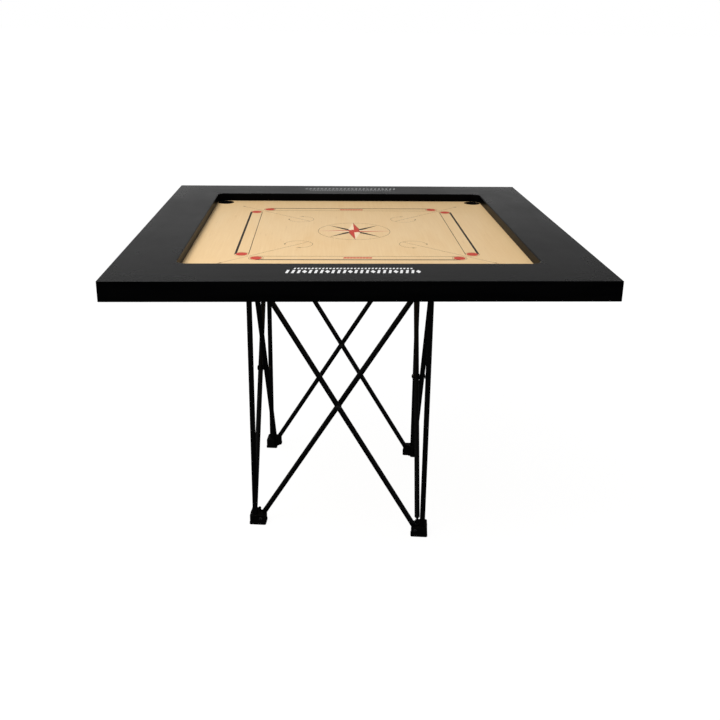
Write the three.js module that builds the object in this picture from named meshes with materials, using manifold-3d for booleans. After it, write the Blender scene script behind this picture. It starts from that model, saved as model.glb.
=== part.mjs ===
// A carrom board lying on its folding tube stand, in millimetres, +Z up.
// The origin is the point on the floor under the middle of the board; the front is -Y.
//
// The board: four mitred rails with a rebate that holds the plywood, a hole in each corner of the
// plywood with a net under it, and three battens under the plywood.
// The stand: four corner posts that telescope, and a pair of crossed bars on each side, so that the
// four corners close towards each other and the posts grow longer as the stand folds.
import * as THREE from "three";
import { mergeVertices } from "three/addons/utils/BufferGeometryUtils.js";
import Module from "manifold-3d";

// ---- driving dimensions ----
const GAP = 0.3; // air between pieces that touch on the real board
const FACET_GAP = 0.4; // the same round a shaft, measured at the edges of its hole

const BOARD = {
  opening: 740, // side of the square playing area
  railWidth: 125,
  height: 41,
  surfaceHeight: 20, // top of the plywood above the underside
  lip: 10, // how far the rails reach over the plywood
  plyThickness: 12,
};
const POCKET_RADIUS = 22.25;
const BATTEN = { centres: [-203, 0, 203], widths: [120, 60, 120] };
const NET = { flangeRadius: 30, flange: 1.5, drop: 27, wall: 1.3, sides: 16 };

const STAND = {
  underside: 680, // floor to the underside of the board
  shiftX: -31, // the stand stands a little left of the board's centre
  shiftY: 2.7,
  frontTurn: -8.8, // degrees about Z of the front and back faces
  sideTurn: -2.5, // degrees about Z of the side faces
  halfSpacing: 206.4, // half of the distance between two neighbouring posts
};
const TUBE = { radius: 6.35, bore: 5.15, sides: 16 };
const ROD = { radius: 4.75, bottom: 450, top: 674 };
const PIVOT = {
  inset: 16, // from the post's axis, along the face
  footHeight: 17,
  topDrop: 41, // below the underside of the board
  crossing: 4, // how far inside the plane of the posts the two bars of a face meet
  barOffset: 7, // of each bar's middle plane from the plane where they meet
};
const OUTER_BAR = PIVOT.crossing - PIVOT.barOffset; // both measured inwards from the posts
const INNER_BAR = PIVOT.crossing + PIVOT.barOffset;
const BAR = { tab: 5, roundFrom: 16, wall: 1.2, sides: 12 };
const BLOCK = { outside: 12, inside: 5, cheek: 3.2, arm: 27, height: 26, corner: 3, flare: 1, sole: 6 };
const PEG = { x: 8.2, y: 19, radius: 3.5, height: 32, sides: 12 }; // in the inner corner of a foot
const SLOT = { width: BAR.tab + 2 * GAP, reach: 8, depth: 8 };
const SOCKET_FLOOR = 4; // under the end of a post in its foot
const SCREW = { radius: 2.5, head: 4.5, headHeight: 2.2, sink: 0.8, blind: 2, sides: 8 };
const BOLT = { radius: 3, cup: 6.5, head: 1.8, hex: 5.8, nut: 5, washer: 7, washerThickness: 0.7 };
const CAP = { radius: 17, neck: 8, bottom: 657, flare: 672, sides: 12 };

const CORNERS = ["front_left", "back_left", "back_right", "front_right"]; // clockwise from above
const FACES = ["left", "back", "right", "front"]; // face k runs from corner k to corner k + 1

// ---- finishes ----
const finish = (color, roughness, metalness = 0) =>
  new THREE.MeshStandardMaterial({ color, roughness, metalness });
const lacquer = finish(0x161617, 0.3);
const birch = finish(0xe4c496, 0.45);
const pine = finish(0xc9a878, 0.7);
const netting = finish(0x1b1b1c, 0.9);
const blackPaint = finish(0x101011, 0.35, 0.4);
const blackPlastic = finish(0x121213, 0.55);
const blackRubber = finish(0x0f0f0f, 0.85);
const blackSteel = finish(0x1c1c1e, 0.4, 1);

// ---- solids ----
const wasm = await Module();
wasm.setup();

function solid(geometry) {
  const bare = geometry.clone();
  bare.deleteAttribute("normal");
  bare.deleteAttribute("uv");
  const merged = mergeVertices(bare, 1e-4);
  const shell = {
    numProp: 3,
    vertProperties: new Float32Array(merged.getAttribute("position").array),
    triVerts: new Uint32Array(merged.index.array),
  };
  return new wasm.Manifold(new wasm.Mesh(shell));
}

function surface(manifold) {
  const shell = manifold.getMesh();
  const geometry = new THREE.BufferGeometry();
  geometry.setAttribute("position", new THREE.BufferAttribute(shell.vertProperties, 3));
  geometry.setIndex(new THREE.BufferAttribute(shell.triVerts, 1));
  const flat = geometry.toNonIndexed();
  flat.computeVertexNormals();
  return flat;
}

// The first geometry joined with the others in join, less every one in cut.
function carve(first, { join = [], cut = [] }) {
  let result = solid(first);
  for (const piece of join) result = result.add(solid(piece));
  for (const piece of cut) result = result.subtract(solid(piece));
  return surface(result);
}

function prism(shape, bottom, top, curveSegments = 4) {
  const depth = top - bottom;
  const geometry = new THREE.ExtrudeGeometry(shape, { depth, bevelEnabled: false, curveSegments });
  return geometry.translate(0, 0, bottom);
}

function box(lowX, highX, lowY, highY, lowZ, highZ) {
  const geometry = new THREE.BoxGeometry(highX - lowX, highY - lowY, highZ - lowZ);
  return geometry.translate((lowX + highX) / 2, (lowY + highY) / 2, (lowZ + highZ) / 2);
}

function round(radius, bottom, top, sides) {
  const geometry = new THREE.CylinderGeometry(radius, radius, top - bottom, sides);
  return geometry.rotateX(Math.PI / 2).translate(0, 0, (top + bottom) / 2);
}

// A solid of revolution about Z from [radius, height] pairs, listed upwards along the outside.
function turned(profile, sides) {
  const points = profile.map(([radius, height]) => new THREE.Vector2(radius, height));
  return new THREE.LatheGeometry(points, sides).rotateX(Math.PI / 2);
}

// The plan of a corner block: an arm along +X that spans lowY to highY, and an arm along +Y that
// spans lowX to highX, both reaching to end, with round outer corners.
function anglePlan(lowX, highX, lowY, highY, end, corner) {
  const shape = new THREE.Shape();
  shape.moveTo(lowX + corner, lowY);
  shape.absarc(end - corner, lowY + corner, corner, -Math.PI / 2, 0, false);
  shape.absarc(end - corner, highY - corner, corner, 0, Math.PI / 2, false);
  shape.lineTo(highX, highY);
  shape.absarc(highX - corner, end - corner, corner, 0, Math.PI / 2, false);
  shape.absarc(lowX + corner, end - corner, corner, Math.PI / 2, Math.PI, false);
  shape.absarc(lowX + corner, lowY + corner, corner, Math.PI, 1.5 * Math.PI, false);
  return shape;
}

function piece(name, geometry, material) {
  const mesh = new THREE.Mesh(geometry, material);
  mesh.name = name;
  return mesh;
}

// ---- the board, with its underside at z = 0 ----
const inner = BOARD.opening / 2;
const outer = inner + BOARD.railWidth;
const rebate = inner + BOARD.lip;
const pocketCentre = inner - POCKET_RADIUS;

// A rail along X on the -Y side: a trapezium over the plywood, whose inner edge turns into the
// round corner of the opening, and a narrower one beside the plywood.
function rail() {
  const mitre = GAP / Math.SQRT2;
  const onArc = pocketCentre + POCKET_RADIUS * Math.SQRT1_2;
  const upper = new THREE.Shape();
  upper.moveTo(-outer + mitre, -outer);
  upper.lineTo(outer - mitre, -outer);
  upper.lineTo(onArc - mitre, -onArc);
  upper.absarc(pocketCentre, -pocketCentre, POCKET_RADIUS, -0.26 * Math.PI, -0.5 * Math.PI, true);
  upper.lineTo(-pocketCentre, -inner);
  upper.absarc(-pocketCentre, -pocketCentre, POCKET_RADIUS, -0.5 * Math.PI, -0.74 * Math.PI, true);
  upper.lineTo(-onArc + mitre, -onArc);
  const lower = new THREE.Shape();
  lower.moveTo(-outer + mitre, -outer);
  lower.lineTo(outer - mitre, -outer);
  lower.lineTo(rebate - mitre, -rebate);
  lower.lineTo(-rebate + mitre, -rebate);
  const over = BOARD.surfaceHeight + GAP;
  return carve(prism(upper, over, BOARD.height, 6), { join: [prism(lower, 0, over)] });
}

function playingSurface() {
  const half = rebate - GAP;
  const shape = new THREE.Shape();
  shape.moveTo(-half, -half);
  shape.lineTo(half, -half);
  shape.lineTo(half, half);
  shape.lineTo(-half, half);
  for (const x of [-pocketCentre, pocketCentre])
    for (const y of [-pocketCentre, pocketCentre]) {
      const hole = new THREE.Path();
      hole.absarc(x, y, POCKET_RADIUS, 0, 2 * Math.PI, true);
      shape.holes.push(hole);
    }
  return prism(shape, BOARD.surfaceHeight - BOARD.plyThickness, BOARD.surfaceHeight, 12);
}

// A net is a shallow bag: a flange against the plywood and a cup that closes below it.
function net() {
  const top = BOARD.surfaceHeight - BOARD.plyThickness - GAP;
  const mouth = POCKET_RADIUS + GAP;
  const outside = mouth + NET.wall;
  return turned(
    [
      [0, -NET.drop],
      [outside * 0.62, -NET.drop * 0.9],
      [outside * 0.88, -NET.drop * 0.55],
      [outside, 0],
      [outside, top - NET.flange],
      [NET.flangeRadius, top - NET.flange],
      [NET.flangeRadius, top],
      [mouth, top],
      [mouth, 0],
      [mouth * 0.87, -NET.drop * 0.53],
      [mouth * 0.6, -NET.drop * 0.85],
      [0, -NET.drop + NET.wall],
    ],
    NET.sides,
  );
}

function makeBoard() {
  const board = new THREE.Group();
  ["front", "right", "back", "left"].forEach((side, quarter) => {
    const mesh = piece(side + "_rail", rail(), lacquer);
    mesh.rotation.z = (quarter * Math.PI) / 2;
    board.add(mesh);
  });
  board.add(piece("playing_surface", playingSurface(), birch));

  const battenTop = BOARD.surfaceHeight - BOARD.plyThickness - GAP;
  const battenEnd = rebate - GAP;
  ["left", "middle", "right"].forEach((side, i) => {
    const half = BATTEN.widths[i] / 2;
    const batten = box(-half, half, -battenEnd, battenEnd, 0, battenTop);
    const mesh = piece(side + "_batten", batten, pine);
    mesh.position.x = BATTEN.centres[i];
    board.add(mesh);
  });

  CORNERS.forEach((corner) => {
    const mesh = piece(corner + "_net", net(), netting);
    const x = corner.endsWith("left") ? -pocketCentre : pocketCentre;
    const y = corner.startsWith("front") ? -pocketCentre : pocketCentre;
    mesh.position.set(x, y, 0);
    board.add(mesh);
  });
  return board;
}

// ---- the stand ----
const { degToRad } = THREE.MathUtils;
const frontTurn = degToRad(STAND.frontTurn);
const sideTurn = degToRad(STAND.sideTurn);
const meanTurn = (frontTurn + sideTurn) / 2;
const rack = (frontTurn - sideTurn) / 2;
const span = 2 * STAND.halfSpacing;
const topPivot = STAND.underside - PIVOT.topDrop;
const pivotRun = span - 2 * PIVOT.inset;
const pivotRise = topPivot - PIVOT.footHeight;
const barLength = Math.hypot(pivotRun, pivotRise);
const lean = Math.atan2(pivotRun, pivotRise);

const alongFront = new THREE.Vector3(Math.cos(frontTurn), Math.sin(frontTurn), 0);
const alongSide = new THREE.Vector3(-Math.sin(sideTurn), Math.cos(sideTurn), 0);

function cornerPosition(k) {
  const right = k >= 2 ? STAND.halfSpacing : -STAND.halfSpacing;
  const back = k === 1 || k === 2 ? STAND.halfSpacing : -STAND.halfSpacing;
  return alongFront.clone().multiplyScalar(right).addScaledVector(alongSide, back);
}

// Face k's own X axis runs from corner k to corner k + 1, and its Y axis points outwards.
function faceTurn(k) {
  const turn = k % 2 ? frontTurn : sideTurn;
  return Math.PI / 2 - (k * Math.PI) / 2 + turn;
}

// A bar stands on its foot pivot at the origin, its tabs flat across Y.
function bar() {
  const half = BAR.tab / 2;
  const tabEnd = BAR.roundFrom + 3;
  const outline = new THREE.Shape();
  outline.moveTo(TUBE.radius, 0);
  outline.lineTo(TUBE.radius, tabEnd);
  outline.lineTo(-TUBE.radius, tabEnd);
  outline.lineTo(-TUBE.radius, 0);
  outline.absarc(0, 0, TUBE.radius, Math.PI, 2 * Math.PI, false);
  const footTab = prism(outline, -half, half, 4).rotateX(Math.PI / 2);
  const topTab = footTab.clone().rotateX(Math.PI).translate(0, 0, barLength);
  const across = (radius, height) =>
    round(radius, -20, 20, BAR.sides).rotateX(Math.PI / 2).translate(0, 0, height);
  const hollow = round(TUBE.radius - BAR.wall, tabEnd + 2, barLength - tabEnd - 2, BAR.sides);
  return carve(round(TUBE.radius, BAR.roundFrom, barLength - BAR.roundFrom, BAR.sides), {
    join: [footTab, topTab],
    cut: [
      hollow,
      across(SCREW.radius + GAP, 0),
      across(SCREW.radius + GAP, barLength),
      across(BOLT.radius + FACET_GAP, barLength / 2),
    ],
  });
}

// The bolt of a crossing lies along Y: flat cup head outside, washer between the bars, nut inside.
function centreBolt() {
  const reach = PIVOT.barOffset + TUBE.radius + GAP;
  const washer = BOLT.washerThickness / 2;
  const bolt = carve(round(BOLT.radius, -reach - 1, reach + 1, BAR.sides), {
    join: [
      round(BOLT.cup, reach, reach + BOLT.head, BAR.sides),
      round(BOLT.hex, -reach - BOLT.nut, -reach, 6),
      round(BOLT.washer, -washer, washer, BAR.sides),
    ],
  });
  return bolt.rotateX(-Math.PI / 2);
}

// A corner block, with the post's axis at the origin and the middle of the stand on the +X +Y side.
// The arm towards the clockwise neighbour runs along +Y and the other along +X. Their slots lie
// inX and inY inside the planes of the posts, and are each turned by the rack of the stand.
function block(inX, inY, odd, postRadius, socketFloor, join) {
  const { outside, arm, corner, flare } = BLOCK;
  const wallX = insideWall(inX);
  const wallY = insideWall(inY);
  const plan = (grow) =>
    anglePlan(-outside - grow, wallY + grow, -outside - grow, wallX + grow, arm + grow, corner + grow);
  const body = prism(plan(0), 0, BLOCK.height, 2);
  const sole = prism(plan(flare), 0, BLOCK.sole, 2);
  const mirrorY = new THREE.Matrix4().makeScale(1, -1, 1);
  const turnX = odd ? -rack : rack;
  const turnY = Math.PI / 2 - turnX;
  const cutX = armTools(inX).map((tool) => tool.rotateZ(turnX));
  const cutY = armTools(inY).map((tool) => flipped(tool, mirrorY).rotateZ(turnY));
  const socket = round(postRadius, socketFloor, BLOCK.height + 1, TUBE.sides);
  return carve(body, { join: [sole, ...join], cut: [...cutX, ...cutY, socket] });
}

// What is cut from an arm along +X: its slot, the hole of its screw and the seat of the head.
function armTools(inward) {
  const half = SLOT.width / 2;
  const from = PIVOT.inset - SLOT.reach;
  const floor = PIVOT.footHeight - SLOT.depth;
  const near = BLOCK.outside;
  const end = insideWall(inward) - SCREW.blind + 1;
  const hole = (radius, start, stop) =>
    round(radius, -stop, -start, BAR.sides)
      .rotateX(Math.PI / 2)
      .translate(PIVOT.inset, 0, PIVOT.footHeight);
  return [
    box(from, BLOCK.arm + 20, inward - half, inward + half, floor, BLOCK.height + 1),
    hole(SCREW.radius + GAP, -near - 5, end),
    hole(SCREW.head + 1, -near - 5, -near + SCREW.sink),
  ];
}

// From the plane of the posts to the inner face of an arm whose slot lies inward by so much.
function insideWall(inward) {
  return Math.max(inward + SLOT.width / 2 + BLOCK.cheek, BLOCK.inside);
}

// A mirrored copy whose triangles are turned round again, so that its faces still point out.
function flipped(geometry, mirror) {
  const copy = geometry.index ? geometry.toNonIndexed() : geometry.clone();
  copy.applyMatrix4(mirror);
  const position = copy.getAttribute("position");
  for (let i = 0; i < position.count; i += 3) {
    const a = new THREE.Vector3().fromBufferAttribute(position, i);
    const b = new THREE.Vector3().fromBufferAttribute(position, i + 1);
    position.setXYZ(i, b.x, b.y, b.z);
    position.setXYZ(i + 1, a.x, a.y, a.z);
  }
  return copy;
}

// A screw lies along +Y from its head, which is outside the arm, into the arm's inner wall.
function screw(inward) {
  const { radius, head, headHeight, sink, blind } = SCREW;
  const tip = insideWall(inward) - blind;
  const start = BLOCK.outside - sink + GAP;
  return turned(
    [
      [0, -tip],
      [radius, -tip],
      [radius, start],
      [head, start],
      [head * 0.8, start + headHeight],
      [0, start + headHeight],
    ],
    SCREW.sides,
  ).rotateX(Math.PI / 2);
}

function topCap() {
  const top = STAND.underside - GAP;
  const hole = ROD.radius + FACET_GAP;
  return turned(
    [
      [hole, CAP.bottom],
      [CAP.neck, CAP.bottom],
      [CAP.neck, CAP.flare - 5],
      [CAP.radius, CAP.flare],
      [CAP.radius, top - 1],
      [CAP.radius - 1, top],
      [0, top],
      [0, ROD.top + GAP],
      [hole, ROD.top + GAP],
      [hole, CAP.bottom],
    ],
    CAP.sides,
  );
}

function postTube() {
  const top = topPivot - (BLOCK.height - PIVOT.footHeight) - GAP;
  const bottom = SOCKET_FLOOR + GAP;
  return turned(
    [
      [TUBE.bore, bottom],
      [TUBE.radius, bottom],
      [TUBE.radius, top],
      [TUBE.bore, top],
      [TUBE.bore, bottom],
    ],
    TUBE.sides,
  );
}

function makeCorner(k) {
  const corner = new THREE.Group();
  const name = CORNERS[k];
  const odd = k % 2 === 1;
  corner.position.copy(cornerPosition(k));
  corner.rotation.z = meanTurn - (k * Math.PI) / 2;

  const peg = round(PEG.radius, 1, PEG.height, PEG.sides).translate(PEG.x, PEG.y, 0);
  const foot = block(INNER_BAR, OUTER_BAR, odd, TUBE.radius + FACET_GAP, SOCKET_FLOOR, [peg]);
  corner.add(piece(name + "_foot", foot, blackPlastic));
  const mirrorZ = new THREE.Matrix4().makeScale(1, 1, -1);
  const upright = block(OUTER_BAR, INNER_BAR, odd, ROD.radius + FACET_GAP, -1, []);
  const topBlock = flipped(upright, mirrorZ).translate(0, 0, topPivot + PIVOT.footHeight);
  corner.add(piece(name + "_top_bracket", topBlock, blackPlastic));
  corner.add(piece(name + "_post_tube", postTube(), blackPaint));
  const rod = round(ROD.radius, ROD.bottom, ROD.top, TUBE.sides);
  corner.add(piece(name + "_inner_rod", rod, blackPaint));
  corner.add(piece(name + "_top_cap", topCap(), blackRubber));

  // Two screws in each block, one across each face.
  const turnX = odd ? -rack : rack;
  const clockwise = FACES[k];
  const counter = FACES[(k + 3) % 4];
  [
    ["_foot_screw_", PIVOT.footHeight, INNER_BAR, OUTER_BAR],
    ["_top_screw_", topPivot, OUTER_BAR, INNER_BAR],
  ].forEach(([label, height, inX, inY]) => {
    const alongX = new THREE.Group();
    alongX.rotation.z = turnX;
    const first = piece(name + label + counter, screw(inX), blackSteel);
    first.position.set(PIVOT.inset, 0, height);
    alongX.add(first);
    const alongY = new THREE.Group();
    alongY.rotation.z = -turnX;
    const second = piece(name + label + clockwise, screw(inY), blackSteel);
    second.rotation.z = -Math.PI / 2;
    second.position.set(0, PIVOT.inset, height);
    alongY.add(second);
    corner.add(alongX, alongY);
  });
  return corner;
}

function makeFace(k) {
  const face = new THREE.Group();
  face.position.copy(cornerPosition(k));
  face.rotation.z = faceTurn(k);
  const outerBar = piece(FACES[k] + "_outer_bar", bar(), blackPaint);
  outerBar.position.set(PIVOT.inset, -OUTER_BAR, PIVOT.footHeight);
  outerBar.rotation.y = lean;
  const innerBar = piece(FACES[k] + "_inner_bar", bar(), blackPaint);
  innerBar.position.set(span - PIVOT.inset, -INNER_BAR, PIVOT.footHeight);
  innerBar.rotation.y = -lean;
  const bolt = piece(FACES[k] + "_centre_bolt", centreBolt(), blackSteel);
  bolt.position.set(STAND.halfSpacing, -PIVOT.crossing, PIVOT.footHeight + pivotRise / 2);
  face.add(outerBar, innerBar, bolt);
  return face;
}

function makeStand() {
  const stand = new THREE.Group();
  for (let k = 0; k < 4; k++) stand.add(makeCorner(k), makeFace(k));
  stand.position.set(STAND.shiftX, STAND.shiftY, 0);
  return stand;
}

const group = new THREE.Group();
const board = makeBoard();
board.position.z = STAND.underside;
group.add(board, makeStand());

export default group;
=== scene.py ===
"""A carrom board lying on its folding tube stand, in metres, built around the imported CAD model.

The origin is on the floor under the middle of the board, the front is -Y and +Z is up. Every CAD
node is replaced by a finer piece in the same place, on the same body.
"""
import math

import bmesh
import bpy
from mathutils import Matrix, Vector


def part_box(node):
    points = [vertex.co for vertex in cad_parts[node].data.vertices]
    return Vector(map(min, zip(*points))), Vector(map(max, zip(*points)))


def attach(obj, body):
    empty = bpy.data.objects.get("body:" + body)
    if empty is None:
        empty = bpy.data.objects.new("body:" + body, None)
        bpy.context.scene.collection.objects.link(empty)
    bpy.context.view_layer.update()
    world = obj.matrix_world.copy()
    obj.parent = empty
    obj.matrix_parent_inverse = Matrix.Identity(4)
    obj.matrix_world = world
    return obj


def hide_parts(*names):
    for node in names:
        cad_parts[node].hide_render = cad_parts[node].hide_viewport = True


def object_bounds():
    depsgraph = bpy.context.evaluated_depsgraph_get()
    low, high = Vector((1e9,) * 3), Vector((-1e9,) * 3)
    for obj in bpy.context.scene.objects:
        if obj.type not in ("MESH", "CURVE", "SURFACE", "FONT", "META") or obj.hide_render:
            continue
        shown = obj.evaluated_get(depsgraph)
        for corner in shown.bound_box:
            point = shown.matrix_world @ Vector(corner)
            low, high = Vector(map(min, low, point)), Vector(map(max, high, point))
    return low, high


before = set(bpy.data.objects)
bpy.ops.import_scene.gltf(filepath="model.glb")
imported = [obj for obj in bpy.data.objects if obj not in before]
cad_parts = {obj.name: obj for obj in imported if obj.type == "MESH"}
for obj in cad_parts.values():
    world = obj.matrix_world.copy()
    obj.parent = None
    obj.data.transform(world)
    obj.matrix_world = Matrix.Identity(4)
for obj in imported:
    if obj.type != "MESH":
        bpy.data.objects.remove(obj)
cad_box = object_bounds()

MM = 0.001
SHARP = math.radians(32)  # edges sharper than this stay crisp
CORNERS = ["front_left", "back_left", "back_right", "front_right"]  # clockwise from above
FACES = ["left", "back", "right", "front"]  # face k runs from corner k to corner k + 1
RAILS = ["front", "right", "back", "left"]  # counter-clockwise from above


def new_object(name, data):
    made = bpy.data.objects.new(name, data)
    bpy.context.scene.collection.objects.link(made)
    return made


def turn_z(angle):
    return Matrix.Rotation(angle, 4, "Z")


def move(x, y, z):
    return Matrix.Translation((x, y, z))


def millimetres(pairs):
    return [(first * MM, second * MM) for first, second in pairs]


def around(count):
    """Evenly spaced angles of a full turn."""
    return [2 * math.pi * i / count for i in range(count)]


def set_inputs(node, **values):
    """Sets a shader node's inputs; an underscore in a name stands for a space."""
    for name, value in values.items():
        node.inputs[name.replace("_", " ")].default_value = value
    return node


def fill_ramp(ramp, stops):
    """Sets a colour ramp to (place, colour) stops."""
    while len(ramp.elements) < len(stops):
        ramp.elements.new(0.5)
    for element, (place, color) in zip(ramp.elements, stops):
        element.position = place
        element.color = (*color, 1)


# ---- camera ----
CAMERA_TURNS = (-2.616, 17.957, 0.753)  # yaw, pitch down and roll, in degrees
CAMERA_X, CAMERA_Y, CAMERA_HEIGHT = -0.0748, -1.9982, 0.4507  # height above the frame's top
LENS, SENSOR, SHIFT_UP = 42.03, 36, -1 / 12
FAR_END = 500


def make_camera():
    yaw, pitch, roll = (math.radians(turn) for turn in CAMERA_TURNS)
    data = bpy.data.cameras.new("camera")
    data.lens = LENS
    data.sensor_width = SENSOR
    data.shift_y = SHIFT_UP
    data.clip_end = FAR_END
    camera = new_object("camera", data)
    turned = turn_z(yaw) @ Matrix.Rotation(math.pi / 2 - pitch, 4, "X") @ turn_z(roll)
    camera.matrix_world = move(CAMERA_X, CAMERA_Y, cad_box[1].z + CAMERA_HEIGHT) @ turned
    bpy.context.scene.camera = camera


# ---- solids ----
class Solid:
    """Closed shells gathered for one mesh."""

    def __init__(self):
        self.verts = []
        self.faces = []

    def loft(self, rings, loop=False):
        """Joins rings of points. A ring may be one point; loop joins the last ring to the first."""
        starts = []
        for ring in rings:
            starts.append(len(self.verts))
            self.verts.extend(tuple(point) for point in ring)
        pairs = [(i, i + 1) for i in range(len(rings) - 1)]
        if loop:
            pairs.append((len(rings) - 1, 0))
        for low, high in pairs:
            self._join(starts[low], len(rings[low]), starts[high], len(rings[high]))
        if not loop:
            for i in (0, len(rings) - 1):
                if len(rings[i]) > 1:
                    self.faces.append(tuple(starts[i] + j for j in range(len(rings[i]))))
        return self

    def _join(self, low, low_count, high, high_count):
        count = max(low_count, high_count)
        for j in range(count):
            k = (j + 1) % count
            if low_count == 1:
                self.faces.append((low, high + k, high + j))
            elif high_count == 1:
                self.faces.append((low + j, low + k, high))
            else:
                self.faces.append((low + j, low + k, high + k, high + j))

    def turned(self, profile, sides=48, loop=False):
        """A solid of revolution about Z from (radius, height) pairs."""
        rings = []
        for radius, height in profile:
            if radius == 0:
                rings.append([(0, 0, height)])
            else:
                rings.append(circle(radius, height, sides))
        return self.loft(rings, loop)

    def prism(self, outline, bottom, top):
        return self.loft([[(x, y, z) for x, y in outline] for z in (bottom, top)])

    def add(self, other, place=Matrix()):
        first = len(self.verts)
        self.verts.extend(tuple(place @ Vector(point)) for point in other.verts)
        self.faces.extend(tuple(first + i for i in face) for face in other.faces)
        return self


def circle(radius, height, sides):
    return [(radius * math.cos(turn), radius * math.sin(turn), height) for turn in around(sides)]


def arc(centre_x, centre_y, radius, start, end, steps):
    """Points on an arc, its angles in degrees."""
    points = []
    for i in range(steps + 1):
        angle = math.radians(start + (end - start) * i / steps)
        points.append((centre_x + radius * math.cos(angle), centre_y + radius * math.sin(angle)))
    return points


def bevelled_box(low, high, edge):
    """A box whose top and bottom edges are cut back a little."""
    rings = []
    for inset, z in ((edge, low.z), (0, low.z + edge), (0, high.z - edge), (edge, high.z)):
        x0, x1 = low.x + inset, high.x - inset
        y0, y1 = low.y + inset, high.y - inset
        rings.append([(x0, y0, z), (x1, y0, z), (x1, y1, z), (x0, y1, z)])
    return Solid().loft(rings)


def whole_arc(centre_x, centre_y, radius, sides):
    return arc(centre_x, centre_y, radius, 0, 360 - 360 / sides, sides - 1)


def rod_between(solid, start, end, radius, sides=8):
    """Adds a straight round rod with closed ends."""
    start, end = Vector(start), Vector(end)
    turn = (end - start).to_track_quat("Z", "Y").to_matrix().to_4x4()
    length = (end - start).length
    rod = Solid().turned([(0, 0), (radius, 0), (radius, length), (0, length)], sides)
    return solid.add(rod, Matrix.Translation(start) @ turn)


def mesh_of(solid, name):
    mesh = bpy.data.meshes.new(name)
    mesh.from_pydata(solid.verts, [], solid.faces)
    work = bmesh.new()
    work.from_mesh(mesh)
    bmesh.ops.remove_doubles(work, verts=work.verts, dist=1e-7)
    bmesh.ops.recalc_face_normals(work, faces=work.faces)
    work.to_mesh(mesh)
    work.free()
    return mesh


def boolean(solid, tool, operation="DIFFERENCE"):
    """The Solid that is left when tool is cut from solid, or joined to it."""
    pair = []
    for part in (solid, tool):
        pair.append(new_object("work", mesh_of(part, "work")))
    modifier = pair[0].modifiers.new("boolean", "BOOLEAN")
    modifier.object = pair[1]
    modifier.operation = operation
    modifier.solver = "EXACT"
    seen = pair[0].evaluated_get(bpy.context.evaluated_depsgraph_get())
    mesh = bpy.data.meshes.new_from_object(seen)
    result = Solid()
    result.verts = [tuple(vertex.co) for vertex in mesh.vertices]
    result.faces = [tuple(polygon.vertices) for polygon in mesh.polygons]
    for holder in pair:
        bpy.data.objects.remove(holder)
    return result


def cut_cross(head, length, width, depth, height):
    """Cuts a screwdriver's cross of a length, width and depth into a head, centred at a height."""
    for x, y in ((length / 2, width / 2), (width / 2, length / 2)):
        outline = [(-x, -y), (x, -y), (x, y), (-x, y)]
        head = boolean(head, Solid().prism(outline, height - depth / 2, height + depth / 2))
    return head


def make_piece(name, solid, material, body, nodes=(), place=Matrix()):
    """Makes a piece of the object, with smooth faces and its sharp edges kept."""
    mesh = solid if isinstance(solid, bpy.types.Mesh) else mesh_of(solid, name)
    if not mesh.materials:
        mesh.materials.append(material)
        for polygon in mesh.polygons:
            polygon.use_smooth = True
        mesh.set_sharp_from_angle(angle=SHARP)
    piece = new_object(name, mesh)
    piece.matrix_world = place
    even = piece.modifiers.new("even_normals", "WEIGHTED_NORMAL")
    even.keep_sharp = True
    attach(piece, body)
    if nodes:
        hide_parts(*nodes)
    return piece


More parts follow.
